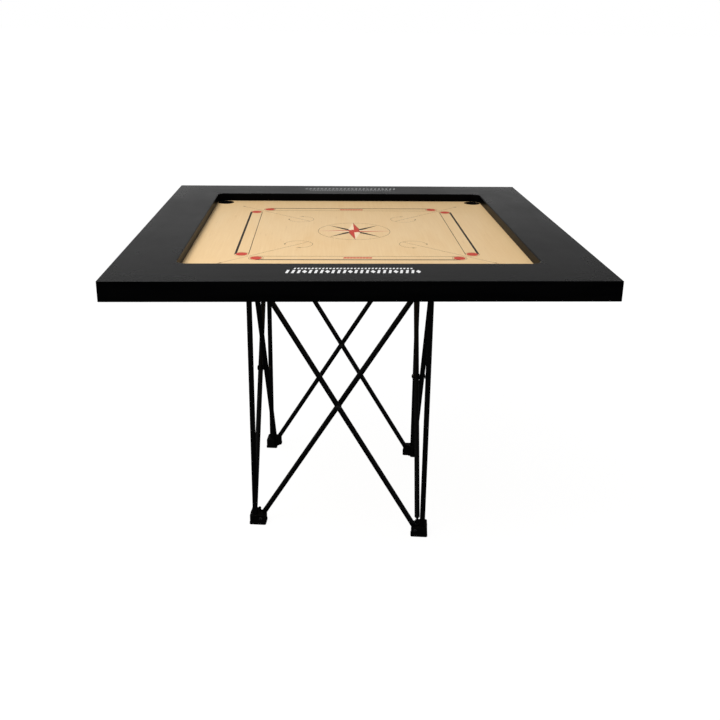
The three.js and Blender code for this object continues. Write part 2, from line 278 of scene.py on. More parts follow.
# ---- materials ----
class Finish:
    """A material: one Principled shader with node patterns in the piece's own coordinates."""

    def __init__(self, name, color, roughness, **sockets):
        self.material = bpy.data.materials.new(name)
        self.material.use_nodes = True
        self.nodes = self.material.node_tree.nodes
        self.links = self.material.node_tree.links
        self.shader = self.nodes["Principled BSDF"]
        set_inputs(self.shader, Base_Color=(*color, 1), Roughness=roughness, **sockets)
        self.place = self.nodes.new("ShaderNodeTexCoord").outputs["Object"]
        self.height = None

    def noise(self, scale, stretch=(1, 1, 1), detail=3.0, distortion=0.0, offset=(0, 0, 0)):
        mapping = set_inputs(self.nodes.new("ShaderNodeMapping"), Scale=stretch, Location=offset)
        self.links.new(self.place, mapping.inputs["Vector"])
        texture = self.nodes.new("ShaderNodeTexNoise")
        set_inputs(texture, Scale=scale, Detail=detail, Distortion=distortion)
        self.links.new(mapping.outputs["Vector"], texture.inputs["Vector"])
        return texture.outputs["Fac"]

    def ramp(self, value, stops):
        """Colours between (place, colour) stops, along a value from 0 to 1."""
        node = self.nodes.new("ShaderNodeValToRGB")
        fill_ramp(node.color_ramp, stops)
        self.links.new(value, node.inputs["Fac"])
        return node.outputs["Color"]

    def mix(self, factor, first, second):
        node = self.nodes.new("ShaderNodeMix")
        node.data_type = "RGBA"
        self.links.new(factor, node.inputs["Factor"])
        # These sockets of a mix node are its colours.
        self.links.new(first, node.inputs[6])
        self.links.new(second, node.inputs[7])
        return node.outputs[2]

    def spread(self, value, low, high, start=0.3, end=0.7):
        """A value between start and end, spread from low to high."""
        node = self.nodes.new("ShaderNodeMapRange")
        set_inputs(node, From_Min=start, From_Max=end, To_Min=low, To_Max=high)
        self.links.new(value, node.inputs["Value"])
        return node.outputs["Result"]

    def tint(self, value, stops):
        return self.color(self.ramp(value, stops))

    def color(self, output):
        self.links.new(output, self.shader.inputs["Base Color"])
        return self

    def roughness(self, value, low, high):
        self.links.new(self.spread(value, low, high), self.shader.inputs["Roughness"])
        return self

    def painted_shade_on_sides(self, top, sides):
        """Painted shade: sets the strength of the sheen on faces that look up, and on the faces
        that look sideways, so the sideways faces reflect less and stay dark.
        """
        normal = self.nodes.new("ShaderNodeTexCoord").outputs["Normal"]
        parts = self.nodes.new("ShaderNodeSeparateXYZ")
        self.links.new(normal, parts.inputs["Vector"])
        level = self.spread(parts.outputs["Z"], sides, top, 0.5, 0.9)
        self.links.new(level, self.shader.inputs["Specular IOR Level"])
        return self

    def bump(self, value, distance):
        """Adds relief of a depth in metres to what is there already."""
        node = set_inputs(self.nodes.new("ShaderNodeBump"), Strength=1.0, Distance=distance)
        self.links.new(value, node.inputs["Height"])
        if self.height:
            self.links.new(self.height, node.inputs["Normal"])
        self.height = node.outputs["Normal"]
        self.links.new(self.height, self.shader.inputs["Normal"])
        return self


def brighter(color, times):
    return tuple(channel * times for channel in color)


def lacquer_finish():
    """Black lacquer on wood: a trace of the grain, a fine orange peel and wiped patches."""
    finish = Finish("black_lacquer", (0.0008, 0.0008, 0.0009), 0.3, IOR=1.46)
    grain = finish.noise(150, (0.06, 1, 1), detail=4, distortion=0.4)
    peel = finish.noise(420, detail=1.5)
    wiped = finish.noise(9, (0.5, 1, 1), detail=3)
    tone = finish.noise(60, (0.1, 1, 1), detail=5)
    deep, pale = (0.0005, 0.0005, 0.0006), (0.0012, 0.0012, 0.0013)
    finish.tint(tone, [(0.3, deep), (0.75, pale)])
    finish.roughness(wiped, 0.24, 0.34)
    # Painted shade: the side faces get far less sheen than the top, so they stay black.
    finish.painted_shade_on_sides(0.2, 0.02)
    return finish.bump(grain, 0.00005).bump(peel, 0.00001).material


def plywood_finish():
    """Varnished birch: fine fibres, broad soft figure and a few darker flecks."""
    coat = {"Coat_Weight": 0.25, "Coat_Roughness": 0.25}
    finish = Finish("varnished_birch", (0.74, 0.52, 0.29), 0.42, **coat)
    fibre = finish.noise(260, (1, 0.03, 1), detail=5, distortion=0.15)
    figure = finish.noise(11, (1, 0.22, 1), detail=4, distortion=0.8)
    fleck = finish.noise(130, (1, 0.12, 1), detail=2, offset=(3, 1, 0))
    pale, warm, dark = (0.83, 0.59, 0.31), (0.75, 0.50, 0.24), (0.55, 0.33, 0.14)
    broad = finish.ramp(figure, [(0.3, pale), (0.7, warm)])
    fine = finish.ramp(fibre, [(0.3, warm), (0.65, pale)])
    half = finish.spread(fibre, 0.25, 0.55)
    wood = finish.mix(half, broad, fine)
    marks = finish.ramp(fleck, [(0.0, dark), (1.0, dark)])
    finish.color(finish.mix(finish.spread(fleck, 0.0, 0.35, 0.66, 0.8), wood, marks))
    finish.roughness(figure, 0.34, 0.46)
    return finish.bump(fibre, 0.00002).material


def batten_finish():
    """Sawn pine: growth rings as long stripes, and a rough fibre."""
    finish = Finish("sawn_pine", (0.6, 0.38, 0.18), 0.7)
    rings = finish.noise(45, (1, 0.04, 0.6), detail=3, distortion=1.2)
    fibre = finish.noise(500, (1, 0.03, 1), detail=4)
    early, late, pale = (0.66, 0.44, 0.22), (0.55, 0.34, 0.15), (0.68, 0.46, 0.24)
    finish.tint(rings, [(0.35, early), (0.5, late), (0.62, pale)])
    finish.roughness(fibre, 0.6, 0.8)
    return finish.bump(fibre, 0.00012).material


def paint_finish(name, roughness):
    """Baked black paint on steel tube: a fine even texture with duller streaks along the tube."""
    finish = Finish(name, (0.0012, 0.0012, 0.0013), roughness, Specular_IOR_Level=0.1)
    speckle = finish.noise(1400, detail=2)
    streak = finish.noise(90, (1, 1, 0.08), detail=3)
    deep, pale = (0.0008, 0.0008, 0.0009), (0.0018, 0.0018, 0.0019)
    finish.tint(streak, [(0.35, deep), (0.7, pale)])
    finish.roughness(streak, roughness - 0.06, roughness + 0.1)
    return finish.bump(speckle, 0.00002).material


def moulded_finish(name, color, roughness, grain):
    """Moulded plastic or rubber: a fine leathery grain and slightly uneven gloss."""
    finish = Finish(name, color, roughness, Specular_IOR_Level=0.05)
    pores = finish.noise(1100, detail=2)
    cloud = finish.noise(70, detail=3)
    finish.tint(cloud, [(0.35, color), (0.75, brighter(color, 1.8))])
    finish.roughness(cloud, roughness - 0.08, roughness + 0.08)
    return finish.bump(pores, grain).material


def steel_finish(name, color, roughness, metallic):
    """Blackened or bright steel, with turning marks and worn patches."""
    finish = Finish(name, color, roughness, Metallic=metallic)
    wear = finish.noise(260, detail=4)
    marks = finish.noise(2200, (1, 1, 0.2), detail=1)
    finish.tint(wear, [(0.45, color), (0.8, brighter(color, 2.2))])
    finish.roughness(wear, roughness - 0.08, roughness + 0.1)
    return finish.bump(marks, 0.00001).material


def net_finish(name, color, scale):
    """Twisted nylon thread, matt, with short fibres across it."""
    matt = {"Specular_IOR_Level": 0.05, "Sheen_Weight": 0.03, "Sheen_Roughness": 0.5}
    finish = Finish(name, color, 0.9, **matt)
    twist = finish.noise(scale, (1, 1, 3), detail=2)
    finish.tint(twist, [(0.35, color), (0.7, brighter(color, 2.5))])
    return finish.bump(twist, 0.00015).material


def ink_finish(name, color, paler):
    """Screen-printed ink, a little thin in places so that the wood's tone shows."""
    finish = Finish(name, color, 0.45, Specular_IOR_Level=0.2)
    thin = finish.noise(700, (1, 0.2, 1), detail=4)
    finish.tint(thin, [(0.35, color), (0.8, paler)])
    finish.roughness(thin, 0.4, 0.5)
    return finish.material


LACQUER = lacquer_finish()
PLYWOOD = plywood_finish()
PINE = batten_finish()
TUBE_PAINT = paint_finish("black_tube_paint", 0.42)
ROD_PAINT = paint_finish("black_rod_paint", 0.34)
PLASTIC = moulded_finish("black_moulded_plastic", (0.001, 0.001, 0.001), 0.5, 0.00004)
RUBBER = moulded_finish("black_rubber", (0.002, 0.002, 0.002), 0.8, 0.00008)
BLACK_STEEL = steel_finish("blackened_steel", (0.012, 0.012, 0.013), 0.42, 0.6)
BRIGHT_STEEL = steel_finish("bright_steel", (0.45, 0.45, 0.44), 0.35, 1.0)
NET_CORD = net_finish("black_net_cord", (0.004, 0.004, 0.004), 1800)
NET_CLOTH = net_finish("black_net_cloth", (0.0015, 0.0015, 0.0015), 2600)
BLACK_INK = ink_finish("black_ink", (0.008, 0.007, 0.005), (0.03, 0.02, 0.012))
FINE_INK = ink_finish("fine_line_ink", (0.13, 0.08, 0.045), (0.28, 0.18, 0.10))
RED_INK = ink_finish("red_ink", (0.50, 0.04, 0.025), (0.55, 0.08, 0.045))
CREAM_INK = ink_finish("cream_ink", (0.85, 0.68, 0.47), (0.80, 0.60, 0.38))
WHITE_INK = ink_finish("white_ink", (0.80, 0.80, 0.80), (0.62, 0.62, 0.62))
# Painted shade: a darker copy of the white ink, for the print on the back rail, which gets less
# light.
SHADED_WHITE_INK = ink_finish("shaded_white_ink", (0.34, 0.35, 0.35), (0.22, 0.22, 0.22))


# ---- the board ----
ply_low, ply_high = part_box("playing_surface")
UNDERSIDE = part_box("front_rail")[0].z
FRAME_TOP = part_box("front_rail")[1].z
SURFACE = ply_high.z
OUTER = cad_box[1].x
RAIL_WIDTH = 125 * MM
INNER = OUTER - RAIL_WIDTH  # half of the playing area's side
LIP = 10 * MM  # how far the rails reach over the plywood
POCKET_RADIUS = 22.25 * MM
POCKET = INNER - POCKET_RADIUS


def rail_profile():
    """(Distance out from the playing area, height, radius of the corner in plan) round a rail."""
    wide = RAIL_WIDTH
    height = FRAME_TOP - UNDERSIDE
    under = SURFACE - UNDERSIDE + 0.3 * MM
    outer_edge, inner_edge, foot_edge = 1.8 * MM, 2.6 * MM, 1.0 * MM
    points = [(LIP, 0)]
    points += arc(wide - foot_edge, foot_edge, foot_edge, -90, 0, 4)
    points += arc(wide - outer_edge, height - outer_edge, outer_edge, 0, 90, 6)
    points += arc(inner_edge, height - inner_edge, inner_edge, 90, 180, 7)
    points += [(0, under), (LIP, under)]
    crisp, outside = 0.4 * MM, 2.5 * MM
    profile = []
    for out, up in points:
        if out > wide / 2:
            corner = max(crisp, outside - (wide - out))
        elif out > inner_edge:
            corner = crisp
        else:
            corner = POCKET_RADIUS + out
        profile.append((out, up, corner))
    return profile


def make_rails():
    """Each rail lies along -Y and ends on both mitres; its inner edge turns into the pockets."""
    rings = []
    steps = 12
    for side, start in ((-1, -135), (1, -90)):
        for i in range(steps + 1):
            angle = math.radians(start + 45 * i / steps)
            ring = []
            for out, up, corner in rail_profile():
                middle = INNER + out - corner
                x = side * middle + corner * math.cos(angle)
                y = -middle + corner * math.sin(angle)
                ring.append((x, y, UNDERSIDE + up))
            rings.append(ring)
    mesh = mesh_of(Solid().loft(rings), "rail")
    for quarter, side in enumerate(RAILS):
        turn = turn_z(quarter * math.pi / 2)
        make_piece(side + "_rail_wood", mesh, LACQUER, "board", [side + "_rail"], turn)


def pocket_place(corner, height=0):
    x = -POCKET if corner.endswith("left") else POCKET
    y = -POCKET if corner.startswith("front") else POCKET
    return move(x, y, height)


def make_surface():
    edge = 0.4 * MM
    low, high = ply_low.z, ply_high.z
    sheet = bevelled_box(ply_low, ply_high, edge)
    hole = [(0, low - edge), (POCKET_RADIUS, low - edge), (POCKET_RADIUS, high - edge)]
    hole += [(POCKET_RADIUS + 2 * edge, high + edge), (0, high + edge)]
    for corner in CORNERS:
        sheet = boolean(sheet, Solid().add(Solid().turned(hole, 72), pocket_place(corner)))
    make_piece("playing_board", sheet, PLYWOOD, "board", ["playing_surface"])
    outside, inside = POCKET_RADIUS - 0.02 * MM, POCKET_RADIUS - 0.35 * MM
    bottom, top = low + 0.2 * MM, high - 0.1 * MM
    lining = [(outside, bottom), (outside, top), (inside, top - 0.3 * MM), (inside, bottom)]
    for corner in CORNERS:
        ring, place = Solid().turned(lining, 72, loop=True), pocket_place(corner)
        make_piece(corner + "_pocket_edge", ring, NET_CLOTH, "board", place=place)


SCREW_INSET = 12 * MM  # of the batten screws, from the long edges
SCREW_ROWS = (-0.92, -0.32, 0.32, 0.92)  # shares of half the batten's length


def make_battens():
    for side in ("left", "middle", "right"):
        node = side + "_batten"
        low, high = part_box(node)
        wood = bevelled_box(low, high, 0.8 * MM)
        make_piece(node + "_wood", wood, PINE, "board", [node])
        screws = Solid()
        for x in (low.x + SCREW_INSET, high.x - SCREW_INSET):
            for row in SCREW_ROWS:
                screws.add(countersunk_head(), move(x, high.y * row, low.z) @ turn_z(row))
        make_piece(node + "_screws", screws, BRIGHT_STEEL, "board")


def countersunk_head():
    """A flush screw head with a cross, facing down from its batten."""
    dome = [(0, 1.2), (1.8, 1.2), (3.6, 0.1), (2.88, -0.05), (1.62, -0.1), (0, -0.12)]
    return cut_cross(Solid().turned(millimetres(dome), 20), 3.6 * MM, 0.8 * MM, 1.2 * MM, -0.2 * MM)


NET_DROP = 26 * MM
NET_TOP = 7.7 * MM
NET_RADIUS = 23.0 * MM
LAST_KNOT = 0.93  # no knots below this fall
NET_FOOT = 0.985  # the fall at which the threads and the lining end


def bag_outline(fall):
    """(Radius, height) of the bag, from fall 0 at its mouth to 1 at its foot."""
    return NET_RADIUS * (1 - fall**2.4) ** 0.5, NET_TOP - (NET_TOP + NET_DROP) * fall


def bag_point(angle, fall):
    """A point of the bag, which sags a little in three places."""
    radius, height = bag_outline(fall)
    radius += 0.7 * MM * math.sin(3 * angle) * fall
    return radius * math.cos(angle), radius * math.sin(angle), height


def net_strand(start, twist, radius):
    """One thread from the mouth of the bag to its foot, as a tube of five sides."""
    steps, sides = 22, 5
    shares = [i / steps for i in range(steps + 1)]
    path = [Vector(bag_point(start + twist * share, NET_FOOT * share)) for share in shares]
    rings = []
    for i, point in enumerate(path):
        along = (path[min(i + 1, steps)] - path[max(i - 1, 0)]).normalized()
        across = along.cross(Vector((point.x, point.y, 0))).normalized()
        away = across.cross(along)
        ring = []
        for angle in around(sides):
            ring.append(point + (across * math.cos(angle) + away * math.sin(angle)) * radius)
        rings.append(ring)
    return Solid().loft(rings)


def make_net():
    """A knotted bag: two sets of crossing threads, a knot at each crossing, and a sewn band."""
    net = Solid()
    threads, twist, radius = 14, 0.6 * math.pi, 0.5 * MM
    for start in around(threads):
        for direction in (-1, 1):
            net.add(net_strand(start, direction * twist, radius))
    high, wide = 1.0 * MM, 0.85 * MM
    knot = Solid().turned([(0, -high), (wide, -high / 2), (wide, high / 2), (0, high)], 6)
    row = 1
    while (share := row * math.pi / threads / twist) * NET_FOOT < LAST_KNOT:
        for start in around(threads):
            net.add(knot, move(*bag_point(start + twist * share, share * NET_FOOT)))
        row += 1
    foot = [(0, -0.8), (2.2, -0.3), (2.8, 1.0), (1.6, 2.4), (0, 2.8)]
    tied = Solid().turned(millimetres(foot), 16)
    net.add(tied, move(0, 0, -NET_DROP))
    band = [(22.6, 7.6), (29.6, 7.6), (30.0, 7.2), (29.8, 6.4)]
    band += [(23.9, 6.2), (23.6, 3.4), (23.0, 3.0), (22.5, 3.5)]
    net.add(Solid().turned(millimetres(band), 48, loop=True))
    return net


def make_net_cloth():
    """The thin bag of close mesh inside the knotted threads."""
    outside, inside = [], []
    steps, first = 14, 0.06
    for i in range(steps + 1):
        radius, height = bag_outline(first + (NET_FOOT - first) * i / steps)
        outside.append((radius - 0.5 * MM, height))
        inside.append((radius - 0.8 * MM, height + 0.15 * MM))
    bottom = bag_outline(NET_FOOT)[1]
    profile = [(0, bottom + 0.3 * MM), *reversed(inside), *outside, (0, bottom)]
    return Solid().turned(profile, 40)


def make_nets():
    cords, cloth = mesh_of(make_net(), "net"), mesh_of(make_net_cloth(), "net_cloth")
    half, wire, leg = 4 * MM, 0.45 * MM, 1 * MM
    staple = rod_between(Solid(), (0, -half, 0), (0, half, 0), wire)
    for end in (-half, half):
        rod_between(staple, (0, end, -wire), (0, end, leg), wire)
    staples = Solid()
    for i in range(8):
        staples.add(staple, turn_z(math.radians(22.5 + 45 * i)) @ move(27 * MM, 0, 6.1 * MM))
    staples = mesh_of(staples, "staples")
    for corner in CORNERS:
        place = pocket_place(corner, UNDERSIDE)
        slot, net = "pocket_net", corner + "_net"
        make_piece(corner + "_knotted_net", cords, NET_CORD, "board", [net], place)
        make_piece(net + "_lining", cloth, NET_CLOTH, "board", place=place)
        make_piece(net + "_staples", staples, BRIGHT_STEEL, "board", place=place)


# ---- the printed markings, in millimetres from the middle of the board ----
BASE_LINE = 266.0  # middle of the thick line
BASE_LINE_WIDTH = 5.0
INNER_LINE = 237.4
THIN = 1.5
BASE_MIDDLE = 252.6  # between the two base lines
CIRCLE_MIDDLE = 219.1  # of a base circle, along its lines
CIRCLE_RADIUS = 15.9
SPOT_RADIUS = 12.7
ARROW_OUTER, ARROW_INNER = 296.7, 108.5
ARC_MIDDLE, ARC_RADIUS = 131.0, 31.75
RING_RADIUS = 87.3
INK_STEP = 0.05


def ink_layer(level):
    """(Bottom, top) of a layer of ink, in millimetres above the plywood."""
    return 0.0, 0.06 + INK_STEP * level


class Ink(Solid):
    """Flat prints on the board; outlines are in millimetres."""

    def shape(self, outline, level=0):
        low, high = ink_layer(level)
        return self.prism(millimetres(outline), low * MM, high * MM)

    def band(self, path, width, level=0, closed=False):
        """A line of a width along a path of points."""
        low, high = (height * MM for height in ink_layer(level))
        rings = []
        count = len(path)
        for i in range(count):
            before = path[i - 1] if i or closed else path[0]
            after = path[(i + 1) % count] if i + 1 < count or closed else path[-1]
            along = (Vector(after) - Vector(before)).normalized()
            side = Vector((-along.y, along.x)) * width / 2
            left, right = (Vector(path[i]) + side) * MM, (Vector(path[i]) - side) * MM
            rings.append([(*right, low), (*right, high), (*left, high), (*left, low)])
        return self.loft(rings, loop=closed)

    def spot(self, x, y, radius, level):
        return self.shape(whole_arc(x, y, radius, 40), level)

    def ring(self, x, y, radius, width, level=0, sides=48):
        return self.band(whole_arc(x, y, radius, sides), width, level, closed=True)

    def quarters(self):
        """The same prints turned to all four sides."""
        whole = Solid()
        for quarter in range(4):
            whole.add(self, turn_z(quarter * math.pi / 2))
        return whole


def arrow_head(tip_x, tip_y, direction, length, half_width):
    """A thin triangle whose tip points along direction, in degrees."""
    along = Vector((math.cos(math.radians(direction)), math.sin(math.radians(direction))))
    side = Vector((-along.y, along.x)) * half_width
    tip = Vector((tip_x, tip_y))
    back = tip - along * length
    return [tuple(tip), tuple(back + side), tuple(back - side)]


def base_lines():
    ink = Ink()
    ink.band([(-CIRCLE_MIDDLE, -BASE_LINE), (CIRCLE_MIDDLE, -BASE_LINE)], BASE_LINE_WIDTH)
    ink.band([(-CIRCLE_MIDDLE, -INNER_LINE), (CIRCLE_MIDDLE, -INNER_LINE)], THIN)
    return ink.quarters()


def base_circles():
    """The rings of the base circles, and the spots inside them."""
    rings, spots = Ink(), Ink()
    for x in (-CIRCLE_MIDDLE, CIRCLE_MIDDLE):
        rings.ring(x, -BASE_MIDDLE, CIRCLE_RADIUS, 0.9, level=1)
        spots.spot(x, -BASE_MIDDLE, SPOT_RADIUS, level=2)
    return rings.quarters(), spots.quarters()


def corner_arrows():
    """The line towards each pocket, and the broken circle at its inner end with two heads."""
    ink = Ink()
    ink.band([(ARROW_INNER, ARROW_INNER), (ARROW_OUTER - 5, ARROW_OUTER - 5)], 1.0)
    ink.shape(arrow_head(ARROW_OUTER, ARROW_OUTER, 45, 11, 2.6), level=1)
    ink.band(arc(ARC_MIDDLE, ARC_MIDDLE, ARC_RADIUS, 90, 360, 54), 0.9)
    end = ARC_MIDDLE + ARC_RADIUS
    ink.shape(arrow_head(end, ARC_MIDDLE + 5, 90, 10, 2.4), level=1)
    ink.shape(arrow_head(ARC_MIDDLE + 5, end, 0, 10, 2.4), level=1)
    return ink.quarters()


STAR_TIP, STAR_WAIST, STAR_HALF = 86.0, 15.0, 14.0


def star_diagonals():
    """Four black rays towards the corners of the board, pointed at both ends."""
    waist, half = 27.0, 5.4
    ray = Ink().shape([(0, 0), (waist, -half), (RING_RADIUS - 1, 0), (waist, half)])
    return Ink().add(ray, turn_z(math.pi / 4)).quarters()


def star_lines():
    """The ring of the centre, and a line along one edge of each coloured ray."""
    whole = Ink().ring(0, 0, RING_RADIUS, 1.1, sides=96)
    for turn in (0, math.pi):
        edge = Ink().band([(0, STAR_TIP), (STAR_HALF, STAR_WAIST)], 0.9, level=4)
        whole.add(edge, turn_z(turn))
    return whole


def star_half(side, level):
    """One side of each coloured ray; the rays to the left and right are narrower."""
    whole = Ink()
    for quarter in range(4):
        half = STAR_HALF if quarter % 2 == 0 else STAR_HALF * 0.55
        ray = Ink().shape([(0, 0), (side * half, STAR_WAIST), (0, STAR_TIP)], level)
        whole.add(ray, turn_z(quarter * math.pi / 2))
    return whole


def slanted_row(first, last, count, middle, height, width, slant, gaps=0):
    """A row of slanted bars from first to last, with a lozenge in place of each gaps-th bar."""
    ink = Ink()
    pitch = (last - first) / count
    low, high = middle - height / 2, middle + height / 2
    for i in range(count):
        x = first + pitch * (i + 0.5)
        if gaps and i % gaps == gaps - 1:
            ink.shape([(x - pitch * 0.45, middle), (x, low), (x + pitch * 0.45, middle), (x, high)])
        else:
            left, right = x - width / 2, x + width / 2
            bottom = [(left - slant, low), (right - slant, low)]
            ink.shape(bottom + [(right + slant, high), (left + slant, high)])
    return ink


def small_motif():
    """A short row of bars between the front base lines."""
    return slanted_row(-32, 30, 9, -250.5, 10, 6.3, 0.8)


def rail_motif(first, last, near, far):
    """Two rows of plain slanted bars and lozenges on a rail, the near row larger."""
    ink = slanted_row(first, last, 24, near, 22, 5.0, 1.6, gaps=4)
    return ink.add(slanted_row(first + 16, last - 14, 34, far, 8, 3.8, 0.8))


def make_markings():
    on_ply, on_rail = move(0, 0, SURFACE), move(0, 0, FRAME_TOP)
    rings, spots = base_circles()
    prints = [
        ("base_lines", base_lines(), BLACK_INK),
        ("base_circle_rings", rings, FINE_INK),
        ("base_circle_spots", spots, RED_INK),
        ("corner_arrows", corner_arrows(), FINE_INK),
        ("centre_star_diagonals", star_diagonals(), BLACK_INK),
        ("centre_star_cream", star_half(-1, 1), CREAM_INK),
        ("centre_star_red", star_half(1, 2).spot(0, 0, 13.5, level=3), RED_INK),
        ("centre_star_lines", star_lines(), FINE_INK),
        ("front_red_motif", small_motif(), RED_INK),
    ]
    for name, ink, material in prints:
        make_piece(name, ink, material, "board", place=on_ply)
    back = on_ply @ turn_z(math.pi)
    make_piece("back_red_motif", small_motif(), RED_INK, "board", place=back)
    near, far = rail_motif(-150, 116, -430, -408), rail_motif(-138, 129, -446, -420)
    make_piece("front_white_motif", near, WHITE_INK, "board", place=on_rail)
    back = on_rail @ turn_z(math.pi)
    # The back rail's print uses the darker copy of the white ink: painted shade.
    make_piece("back_white_motif", far, SHADED_WHITE_INK, "board", place=back)


# ---- the stand ----
INSET = 16 * MM  # from a post's axis to its pivots, along a face
CROSSING = 4 * MM  # how far inside the plane of the posts the two bars of a face meet
BAR_OFFSET = 7 * MM  # of each bar's middle plane from the plane where they meet
OUTER_BAR, INNER_BAR = CROSSING - BAR_OFFSET, CROSSING + BAR_OFFSET  # inwards from the posts
TUBE_RADIUS, TUBE_BORE = 6.35 * MM, 5.15 * MM
TONGUE_HALF = 2.5 * MM  # half the thickness of a bar's flattened end
TONGUE_END, ROUND_FROM = 14.2 * MM, 17.8 * MM  # from a pivot along the bar
PIVOT_HOLE, BOLT_HOLE = 2.75 * MM, 3.2 * MM
ROD_RADIUS = 4.75 * MM
OUTSIDE, CHEEK, ARM, BLOCK_HEIGHT = 12 * MM, 3.2 * MM, 27 * MM, 26 * MM
PIVOT_IN_BLOCK = 17 * MM  # height of a pivot in its block
SLOT_HALF, SLOT_START, SLOT_FLOOR = 2.8 * MM, 8 * MM, 9 * MM
SCREW_HEAD, SCREW_HEAD_HEIGHT, SCREW_SINK = 4.5 * MM, 2.2 * MM, 0.8 * MM


def box_middle(node):
    low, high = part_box(node)
    return (low + high) / 2


posts = [box_middle(corner + "_post_tube") * Vector((1, 1, 0)) for corner in CORNERS]
along_front, along_side = posts[3] - posts[0], posts[1] - posts[0]
FRONT_TURN = math.atan2(along_front.y, along_front.x)
SIDE_TURN = math.atan2(-along_side.x, along_side.y)
MEAN_TURN = (FRONT_TURN + SIDE_TURN) / 2
RACK = (FRONT_TURN - SIDE_TURN) / 2
SPAN = along_front.length
FOOT_PIVOT = box_middle("front_left_foot_screw_front").z
TOP_PIVOT = box_middle("front_left_top_screw_front").z
RUN, RISE = SPAN - 2 * INSET, TOP_PIVOT - FOOT_PIVOT
BAR_LENGTH = math.hypot(RUN, RISE)
LEAN = math.atan2(RUN, RISE)


def corner_frame(k):
    return move(*posts[k]) @ turn_z(MEAN_TURN - k * math.pi / 2)


def face_frame(k):
    turn = FRONT_TURN if k % 2 else SIDE_TURN
    return move(*posts[k]) @ turn_z(math.pi / 2 - k * math.pi / 2 + turn)


def slot_turns(k):
    """The turns of the slots along X and along Y in the frame of corner k."""
    along_x = -RACK if k % 2 else RACK
    return along_x, math.pi / 2 - along_x


def inside_wall(inward):
    """From the plane of the posts to the inner face of an arm whose slot lies inward by so much."""
    return max(inward + SLOT_HALF + CHEEK, 5 * MM)


def angle_plan(wall_x, wall_y, grow, height):
    """The L of a corner block, grown or shrunk: its arms run along +X and +Y."""
    corner, fillet = 3 * MM + grow, 2.5 * MM - grow
    low, end = -OUTSIDE - grow, ARM + grow
    high_x, high_y = wall_y + grow, wall_x + grow
    outline = arc(end - corner, low + corner, corner, -90, 0, 5)
    outline += arc(end - corner, high_y - corner, corner, 0, 90, 5)
    outline += arc(high_x + fillet, high_y + fillet, fillet, 270, 180, 5)
    outline += arc(high_x - corner, end - corner, corner, 0, 90, 5)
    outline += arc(low + corner, end - corner, corner, 90, 180, 5)
    outline += arc(low + corner, low + corner, corner, 180, 270, 5)
    return [(x, y, height) for x, y in outline]


def block_body(wall_x, wall_y):
    """The moulded block with a flared, rounded sole."""
    steps = [(0.0, 0.2), (0.3, 0.7), (0.9, 1.0), (5.0, 1.0), (5.6, 0.8), (6.2, 0.3), (7.0, 0.0)]
    steps += [(24.2, 0.0), (25.1, -0.25), (25.7, -0.75), (26.0, -1.5)]
    rings = [angle_plan(wall_x, wall_y, grow * MM, height * MM) for height, grow in steps]
    return Solid().loft(rings)


def slot_tool(offset):
    """Cuts the slot of a bar along +X, its mouth a little wider than its walls."""
    end = ARM + 20 * MM
    rings = []
    for grow, z in ((-0.6, 0.0), (0, 0.8), (0, 16.2), (0.8, 17.6)):
        half = SLOT_HALF + grow * MM
        start = SLOT_START - grow * MM
        z = SLOT_FLOOR + z * MM
        low, high = offset - half, offset + half
        rings.append([(start, low, z), (end, low, z), (end, high, z), (start, high, z)])
    return Solid().loft(rings)


def head_seat(side):
    """Cuts the shallow round seat of a screw's head, on the side -1 or 1 of a slot's frame."""
    radius = SCREW_HEAD + 1 * MM
    deep, wide = SCREW_SINK, radius + 0.2 * MM
    profile = [(0, 0), (radius - 0.3 * MM, 0), (wide, deep), (wide, 9 * MM), (0, 9 * MM)]
    facing = Matrix.Rotation(-side * math.pi / 2, 4, "X")
    seat = move(INSET, side * (OUTSIDE - deep), PIVOT_IN_BLOCK) @ facing
    return Solid().add(Solid().turned(profile, 28), seat)


def moulded_block(k, in_x, in_y, bore, floor, extra=None):
    """A corner block: two slots, the seats of two screw heads, and the socket of the post."""
    solid = block_body(inside_wall(in_x), inside_wall(in_y))
    if extra:
        solid = boolean(solid, extra, "UNION")
    turn_x, turn_y = slot_turns(k)
    for turn, offset, side in ((turn_x, in_x, -1), (turn_y, -in_y, 1)):
        for tool in (slot_tool(offset), head_seat(side)):
            solid = boolean(solid, Solid().add(tool, turn_z(turn)))
    mouth = bore + 0.6 * MM
    top = BLOCK_HEIGHT + 1 * MM
    socket = [(0, floor), (bore, floor), (bore, top - 1.6 * MM), (mouth, top), (0, top)]
    return boolean(solid, Solid().turned(socket, 40))


def foot_peg():
    """The round peg that stands in the inner corner of a foot."""
    x, y, radius, top = 8.2 * MM, 19 * MM, 3.5 * MM, 32 * MM
    profile = [(0, 1 * MM), (radius, 1 * MM), (radius, top - 3 * MM)]
    for angle in (0.4, 0.8, 1.2):
        out = radius - (1 - math.cos(angle)) * 2 * MM
        profile.append((out, top - 3 * MM + math.sin(angle) * 2.6 * MM))
    profile += [(1.6 * MM, top - 0.2 * MM), (0, top)]
    return Solid().add(Solid().turned(profile, 24), move(x, y, 0))


def screw_solid(length):
    """A pan-head screw along +Z: its head's top is at 0 and its tip below."""
    head, deep, shank = SCREW_HEAD, SCREW_HEAD_HEIGHT, 2.5 * MM
    profile = [(0, 0), (head * 0.35, -0.1 * MM), (head * 0.7, -0.45 * MM), (head * 0.93, -1.0 * MM)]
    profile += [(head, -1.7 * MM), (head, -deep), (shank, -deep)]
    profile += [(shank, -length + 0.6 * MM), (1.9 * MM, -length), (0, -length)]
    return cut_cross(Solid().turned(profile, 28), 5.2 * MM, 0.95 * MM, 2.6 * MM, 0)


FOOT_SOCKET_FLOOR, TOP_SOCKET_FLOOR = 4 * MM, -2 * MM


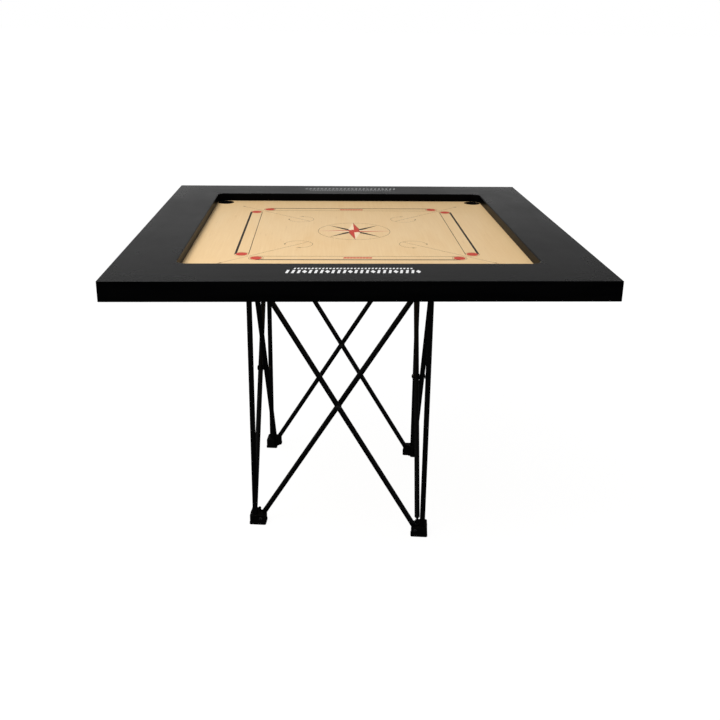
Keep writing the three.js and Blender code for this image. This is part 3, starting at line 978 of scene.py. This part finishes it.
def make_corners():
    head_top = OUTSIDE - SCREW_SINK + 0.3 * MM + SCREW_HEAD_HEIGHT
    screws = {}
    for inward in (OUTER_BAR, INNER_BAR):
        screw = screw_solid(head_top + inside_wall(inward) - 2 * MM)
        screws[inward] = mesh_of(screw, "screw")
    tube = mesh_of(post_tube(), "post_tube")
    rod = mesh_of(inner_rod(), "inner_rod")
    cap = mesh_of(top_cap(), "top_cap")
    for k, corner in enumerate(CORNERS):
        low, high = corner + "_foot", corner + "_top"
        place = corner_frame(k)
        bore = TUBE_RADIUS + 0.1 * MM
        foot = moulded_block(k, INNER_BAR, OUTER_BAR, bore, FOOT_SOCKET_FLOOR, foot_peg())
        # The top bracket is the same block upside down, with its slots on the other sides.
        bore = ROD_RADIUS + 0.15 * MM
        top = moulded_block(k, OUTER_BAR, INNER_BAR, bore, TOP_SOCKET_FLOOR)
        raised = move(0, 0, TOP_PIVOT + PIVOT_IN_BLOCK)
        top = Solid().add(top, raised @ Matrix.Scale(-1, 4, (0, 0, 1)))
        for name, shape, material, body, slot, node in (
            (low + "_block", foot, PLASTIC, low, "black_plastic", low),
            (high + "_block", top, PLASTIC, high, "black_plastic", high + "_bracket"),
            (corner + "_post", tube, TUBE_PAINT, low, "black_tube", corner + "_post_tube"),
            (corner + "_sliding_rod", rod, ROD_PAINT, high, "black_tube", corner + "_inner_rod"),
            (corner + "_rubber_cap", cap, RUBBER, high, "black_rubber", corner + "_top_cap"),
        ):
            make_piece(name, shape, material, body, [node], place)
        make_corner_screws(k, screws, head_top, place)


def make_corner_screws(k, screws, head_top, place):
    """Two screws in each block, one across each face."""
    corner = CORNERS[k]
    turn_x, turn_y = slot_turns(k)
    spin = turn_z(0.4 + k)
    for label, height, in_x, in_y in (
        ("foot", FOOT_PIVOT, INNER_BAR, OUTER_BAR),
        ("top", TOP_PIVOT, OUTER_BAR, INNER_BAR),
    ):
        body = f"{corner}_{label}"
        sides = ((FACES[k - 1], turn_x, in_x, -1), (FACES[k], turn_y, in_y, 1))
        for face, turn, inward, side in sides:
            facing = Matrix.Rotation(-side * math.pi / 2, 4, "X")
            seat = move(INSET, side * head_top, height) @ facing
            node = f"{body}_screw_{face}"
            spot = place @ turn_z(turn) @ seat @ spin
            screw = screws[inward]
            make_piece(node + "_pan", screw, BLACK_STEEL, body, [node], spot)


def post_tube():
    low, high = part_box("front_left_post_tube")
    bottom, top, edge = low.z, high.z, 0.35 * MM
    profile = [(TUBE_BORE, bottom), (TUBE_RADIUS - edge, bottom), (TUBE_RADIUS, bottom + edge)]
    profile += [(TUBE_RADIUS, top - edge), (TUBE_RADIUS - edge, top)]
    profile += [(TUBE_BORE + edge, top), (TUBE_BORE, top - edge)]
    return Solid().turned(profile, 40, loop=True)


def inner_rod():
    low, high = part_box("front_left_inner_rod")
    edge = 0.8 * MM
    profile = [(0, low.z), (ROD_RADIUS - edge, low.z), (ROD_RADIUS, low.z + edge)]
    profile += [(ROD_RADIUS, high.z - edge), (ROD_RADIUS - edge, high.z), (0, high.z)]
    return Solid().turned(profile, 36)


def top_cap():
    """A rubber cap with a neck round the rod and a wide grooved head that carries the board."""
    low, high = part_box("front_left_top_cap")
    bottom, top, hole = low.z, high.z, ROD_RADIUS + 0.1 * MM
    neck, wide = 8 * MM, 17 * MM
    inside = top - 5.4 * MM
    profile = [(0, inside), (hole, inside), (hole, bottom)]
    profile += [(neck - 0.5 * MM, bottom), (neck, bottom + 0.5 * MM)]
    profile += [(neck, bottom + 9.2 * MM), (neck + 0.8 * MM, bottom + 10.6 * MM)]
    profile += [(wide - 0.9 * MM, bottom + 14.6 * MM), (wide, bottom + 15.6 * MM)]
    for groove in (17.2, 19.2):
        z = bottom + groove * MM
        deep = wide - 0.6 * MM
        profile += [(wide, z), (deep, z + 0.3 * MM), (deep, z + 0.8 * MM), (wide, z + 1.1 * MM)]
    profile += [(wide, top - 1.1 * MM), (wide - 0.4 * MM, top - 0.4 * MM)]
    profile += [(wide - 1.2 * MM, top), (0, top)]
    return Solid().turned(profile, 48)


def bar_section(half_wide, half_thick, power, height):
    """A superellipse: round at a power of 2, nearly a rectangle at 6."""
    ring = []
    for angle in around(32):
        c, s = math.cos(angle), math.sin(angle)
        x = math.copysign(abs(c) ** (2 / power), c) * half_wide
        y = math.copysign(abs(s) ** (2 / power), s) * half_thick
        ring.append((x, y, height))
    return ring


def tongue_rings():
    """From the round end of a flattened tongue up to the full round of the tube."""
    radius, thin = TUBE_RADIUS, TONGUE_HALF
    rings = []
    for degrees in (86, 75, 62, 48, 32, 16, 0):
        angle = math.radians(degrees)
        rings.append(bar_section(radius * math.cos(angle), thin, 6, -radius * math.sin(angle)))
    start, end = TONGUE_END, ROUND_FROM
    rings.append(bar_section(radius, thin, 6, start - 3 * MM))
    for i in range(9):
        part = i / 8
        smooth = part * part * (3 - 2 * part)
        thick = thin + (radius - thin) * smooth
        rings.append(bar_section(radius, thick, 6 - 4 * smooth, start + (end - start) * part))
    return rings


def bar_solid():
    """A round tube with a tongue at each end and holes for its two screws and its bolt."""
    lower = tongue_rings()
    upper = [[(x, y, BAR_LENGTH - z) for x, y, z in ring] for ring in reversed(lower)]
    bar = Solid().loft(lower + upper)
    holes = ((0, PIVOT_HOLE), (BAR_LENGTH / 2, BOLT_HOLE), (BAR_LENGTH, PIVOT_HOLE))
    for height, radius in holes:
        hole = rod_between(Solid(), (0, -20 * MM, height), (0, 20 * MM, height), radius, 24)
        bar = boolean(bar, hole)
    return bar


def hex_ring(flat, limit, height):
    """A hexagon whose corners are cut by a circle, as the chamfer of a nut is."""
    ring = []
    for angle in around(48):
        radius = min(flat / math.cos((angle + math.pi / 6) % (math.pi / 3) - math.pi / 6), limit)
        ring.append((radius * math.cos(angle), radius * math.sin(angle), height))
    return ring


def hex_nut(bottom, top, flat):
    corner, cut = flat / math.cos(math.pi / 6), 0.6 * MM
    rings = [hex_ring(flat, flat * 0.98, bottom), hex_ring(flat, corner, bottom + cut)]
    rings += [hex_ring(flat, corner, top - cut), hex_ring(flat, flat * 0.98, top)]
    return Solid().loft(rings)


def centre_bolt():
    """The bolt of a crossing along Z: cup head above, washer between the bars, nut below."""
    reach = BAR_OFFSET + TUBE_RADIUS + 0.3 * MM  # from the crossing to the outside of a bar
    flat, radius = 5.0 * MM, 3 * MM
    end = -reach - 6 * MM
    shank = [(0, end), (radius - 0.5 * MM, end)]
    for i in range(6):
        z = end + 0.5 * MM + i * MM
        shank += [(radius, z), (radius - 0.3 * MM, z + 0.5 * MM)]
    shank += [(radius, reach - 6 * MM), (radius, reach), (6.3 * MM, reach)]
    cup = [(6.5, 0.2), (6.4, 0.55), (5.7, 1.05), (4.5, 1.5), (3.2, 1.75)]
    cup += [(2.5, 1.8), (2.2, 1.5), (2.2, 0.7)]
    shank += [(out * MM, reach + up * MM) for out, up in cup]
    shank.append((0, reach + 0.6 * MM))
    bolt = Solid().turned(shank, 36)
    bolt.add(hex_nut(-reach - 5 * MM, -reach, flat))
    washer = [(3.05, -0.35), (6.8, -0.35), (7, -0.1), (7, 0.1), (6.8, 0.35), (3.05, 0.35)]
    return bolt.add(Solid().turned(millimetres(washer), 36, loop=True))


def make_faces():
    bar = mesh_of(bar_solid(), "bar")
    bolt = mesh_of(centre_bolt(), "bolt")
    for k, face in enumerate(FACES):
        place = face_frame(k)
        outer = move(INSET, -OUTER_BAR, FOOT_PIVOT) @ Matrix.Rotation(LEAN, 4, "Y")
        inner = move(SPAN - INSET, -INNER_BAR, FOOT_PIVOT) @ Matrix.Rotation(-LEAN, 4, "Y")
        for side, local in (("outer", outer), ("inner", inner)):
            node = f"{face}_{side}_bar"
            make_piece(node + "_tube", bar, TUBE_PAINT, node, [node], place @ local)
        crossing = move(SPAN / 2, -CROSSING, FOOT_PIVOT + RISE / 2)
        middle = crossing @ Matrix.Rotation(-math.pi / 2, 4, "X")
        node = face + "_centre_bolt"
        body = face + "_outer_bar"
        make_piece(node + "_set", bolt, BLACK_STEEL, body, [node], place @ middle)


# ---- floor, world and light ----
FLOOR_TONE, FLOOR_GLOW = 0.1, 0.96
# (Elevation in degrees, brightness) of the studio.
STUDIO = [(-3, 0.02), (-2, 1.0), (6.5, 1.0), (10, 0.12)]
STUDIO += [(15, 0.12), (20, 0.17), (28, 0.27), (45, 0.5), (80, 0.9)]
SLOPE_FROM, SLOPE_FULL, SLOPE = 0.13, 0.19, -1.0  # of the direction's Z, and the slope there
KEY_PLACE, KEY_TARGET = (-1.0, -0.8, 2.4), (0, -0.1, 0.7)
KEY_SIZE, KEY_POWER = 1.4, 39


def make_floor():
    """A plain floor that glows, so that it stays white with only a faint shadow."""
    half = 200
    mesh = bpy.data.meshes.new("floor")
    corners = [(-half, -half, 0), (half, -half, 0), (half, half, 0), (-half, half, 0)]
    mesh.from_pydata(corners, [], [(0, 1, 2, 3)])
    tone = (FLOOR_TONE,) * 3
    glow = {"Emission_Color": (1, 1, 1, 1), "Emission_Strength": FLOOR_GLOW}
    finish = Finish("pale_floor", tone, 0.9, Specular_IOR_Level=0, **glow)
    finish.material.cycles.emission_sampling = "NONE"
    mesh.materials.append(finish.material)
    floor = new_object("floor", mesh)
    floor.visible_glossy = False


def make_world():
    """A studio seen by direction: white at the horizon, dim above it, bright overhead."""
    world = bpy.data.worlds.new("studio")
    bpy.context.scene.world = world
    bpy.context.scene.view_settings.view_transform = "Standard"
    world.use_nodes = True
    nodes, links = world.node_tree.nodes, world.node_tree.links
    background = nodes["Background"]
    direction = nodes.new("ShaderNodeTexCoord").outputs["Generated"]
    parts = nodes.new("ShaderNodeSeparateXYZ")
    links.new(direction, parts.inputs["Vector"])
    scaled = set_inputs(nodes.new("ShaderNodeMapRange"), From_Min=-1)
    links.new(parts.outputs["Z"], scaled.inputs["Value"])
    ramp = nodes.new("ShaderNodeValToRGB")
    heights = [(math.sin(math.radians(elevation)) + 1) / 2 for elevation, level in STUDIO]
    levels = [(level,) * 3 for elevation, level in STUDIO]
    fill_ramp(ramp.color_ramp, list(zip(heights, levels)))
    links.new(scaled.outputs["Result"], ramp.inputs["Fac"])
    links.new(ramp.outputs["Color"], background.inputs["Color"])
    # Above the horizon the left is brighter than the right.
    slope = nodes.new("ShaderNodeMapRange")
    set_inputs(slope, From_Min=SLOPE_FROM, From_Max=SLOPE_FULL, To_Max=SLOPE)
    links.new(parts.outputs["Z"], slope.inputs["Value"])
    side = nodes.new("ShaderNodeMath")
    side.operation = "MULTIPLY_ADD"
    side.inputs[2].default_value = 1.0
    links.new(parts.outputs["X"], side.inputs[0])
    links.new(slope.outputs["Result"], side.inputs[1])
    links.new(side.outputs["Value"], background.inputs["Strength"])


def make_key():
    data = bpy.data.lights.new("key", "AREA")
    data.shape = "DISK"
    data.size = KEY_SIZE
    data.energy = KEY_POWER
    lamp = new_object("key", data)
    lamp.location = KEY_PLACE
    lamp.rotation_mode = "QUATERNION"
    aim = Vector(KEY_TARGET) - Vector(KEY_PLACE)
    lamp.rotation_quaternion = aim.to_track_quat("-Z", "Y")


make_camera()
make_floor()
make_world()
make_key()
make_rails()
make_surface()
make_battens()
make_nets()
make_markings()
make_corners()
make_faces()
